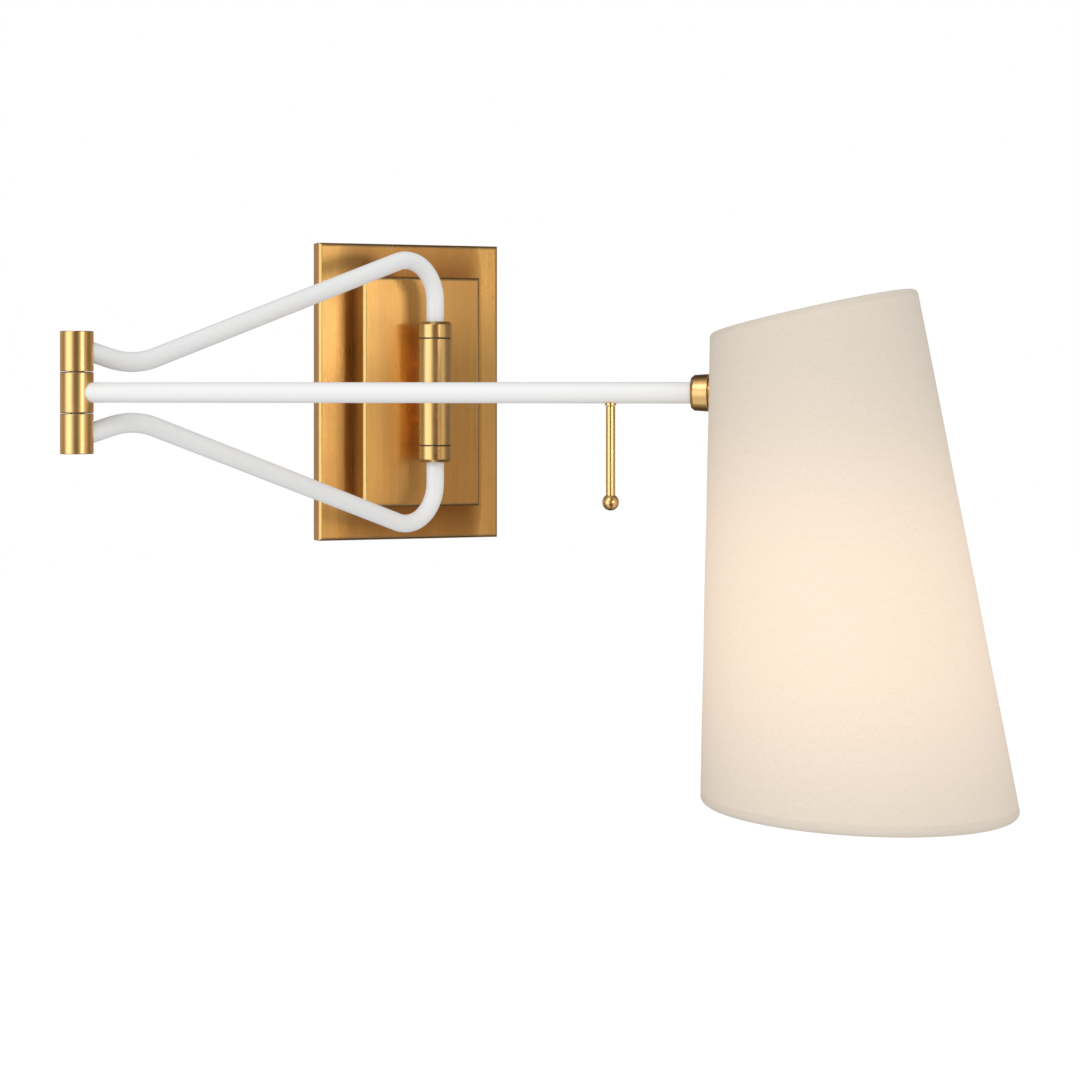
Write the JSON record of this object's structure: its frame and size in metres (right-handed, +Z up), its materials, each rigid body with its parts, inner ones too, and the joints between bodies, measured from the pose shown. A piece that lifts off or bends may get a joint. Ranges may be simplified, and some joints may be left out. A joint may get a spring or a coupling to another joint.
{
  "type": "swing arm wall sconce",
  "caption": "Brass wall plate with a vertical barrel, a swinging frame of bent white rods, a straight white front arm, and a slanted linen lamp shade that tilts on its end.",
  "frame": {"origin": "centre of the mounting bracket's two junction-box slots, in the plane of the wall", "axes": "+X to the right when facing the wall, +Y into the wall, +Z up; the sconce stands off the wall towards -Y"},
  "size_m": [0.4452, 0.4916, 0.3059],
  "materials": {
    "brushed_brass": "antique brass with a fine upright brushed grain, darkened lacquer",
    "polished_brass": "antique brass, satin polished, lacquered",
    "white_paint": "smooth semi-matt white enamel on steel tube",
    "zinc_steel": "zinc-plated steel, as used on hidden fixings",
    "green_screw": "green dyed earthing screw",
    "bronze": "sintered bronze bearing bush, matt",
    "dark_washer": "black acetal friction washer",
    "black_plastic": "black moulded phenolic",
    "nickel_shell": "thin nickel-plated threaded shell",
    "white_wire": "white coated steel wire",
    "linen": "natural cream linen with a fine slubbed weave, translucent",
    "lining": "thin translucent warm white shade lining",
    "frosted_glass": "frosted glass lamp envelope, warm white, lit"
  },
  "bodies": {
    "wall_mount": {"backplate": "brushed_brass", "raised_panel": "brushed_brass", "panel_screws": "zinc_steel", "mounting_bracket": "zinc_steel", "plate_grub_screws": "zinc_steel", "ground_screw": "green_screw", "upper_stand_off": "polished_brass", "lower_stand_off": "polished_brass", "post_washers": "zinc_steel", "post_nuts": "zinc_steel", "barrel": "polished_brass", "upper_barrel_bush": "bronze", "lower_barrel_bush": "bronze", "upper_thrust_washer": "dark_washer", "lower_thrust_washer": "dark_washer"},
    "rear_arm": {"upper_arm_rod": "white_paint", "lower_arm_rod": "white_paint", "upper_barrel_cap": "polished_brass", "lower_barrel_cap": "polished_brass", "barrel_pivot_tube": "zinc_steel", "cap_set_screws": "zinc_steel", "upper_knuckle": "polished_brass", "lower_knuckle": "polished_brass", "elbow_pivot_tube": "zinc_steel", "elbow_set_screws": "zinc_steel"},
    "front_arm": {"middle_knuckle": "polished_brass", "elbow_bush": "bronze", "upper_elbow_washer": "dark_washer", "lower_elbow_washer": "dark_washer", "front_arm_tube": "white_paint", "pull_rod_ferrule": "polished_brass", "pull_switch_body": "black_plastic", "swivel_spindle": "zinc_steel", "swivel_spring_washer": "zinc_steel", "swivel_nut": "zinc_steel"},
    "shade_head": {"shade_collar": "polished_brass", "collar_lock_ring": "polished_brass", "swivel_friction_washer": "dark_washer", "socket_hub": "polished_brass", "hub_cover": "polished_brass", "spider_nut": "polished_brass", "hub_nipple": "zinc_steel", "nipple_nuts": "zinc_steel", "socket_cap": "polished_brass", "socket_shell": "polished_brass", "socket_body": "black_plastic", "socket_screw_shell": "nickel_shell", "socket_contact": "nickel_shell", "shade_spider": "white_wire", "bottom_ring": "white_wire", "shade_fabric": "linen", "shade_lining": "lining", "lamp_base": "nickel_shell", "lamp_glass": "frosted_glass"},
    "switch_pull": {"pull_rod": "polished_brass", "pull_ball": "polished_brass"}
  },
  "joints": [
    {"name": "wall_swing", "type": "hinge", "parent": "wall_mount", "child": "rear_arm", "pos_m": [0, -0.0677, 0], "axis": [0, 0, 1], "range_deg": [-26, 154]},
    {"name": "elbow_swing", "type": "hinge", "parent": "rear_arm", "child": "front_arm", "pos_m": [-0.24151, -0.18549, 0], "axis": [0, 0, 1], "range_deg": [-278, 35]},
    {"name": "shade_tilt", "type": "hinge", "parent": "front_arm", "child": "shade_head", "pos_m": [0.10045, -0.4025, 0], "axis": [0.8443, -0.5358, 0], "range_deg": [-30, 30]},
    {"name": "switch_pull", "type": "slide", "parent": "front_arm", "child": "switch_pull", "axis": [0, 0, -1], "range_m": [0, 0.0025], "stiffness_N_per_m": 500, "springref_m": -0.003}
  ]
}
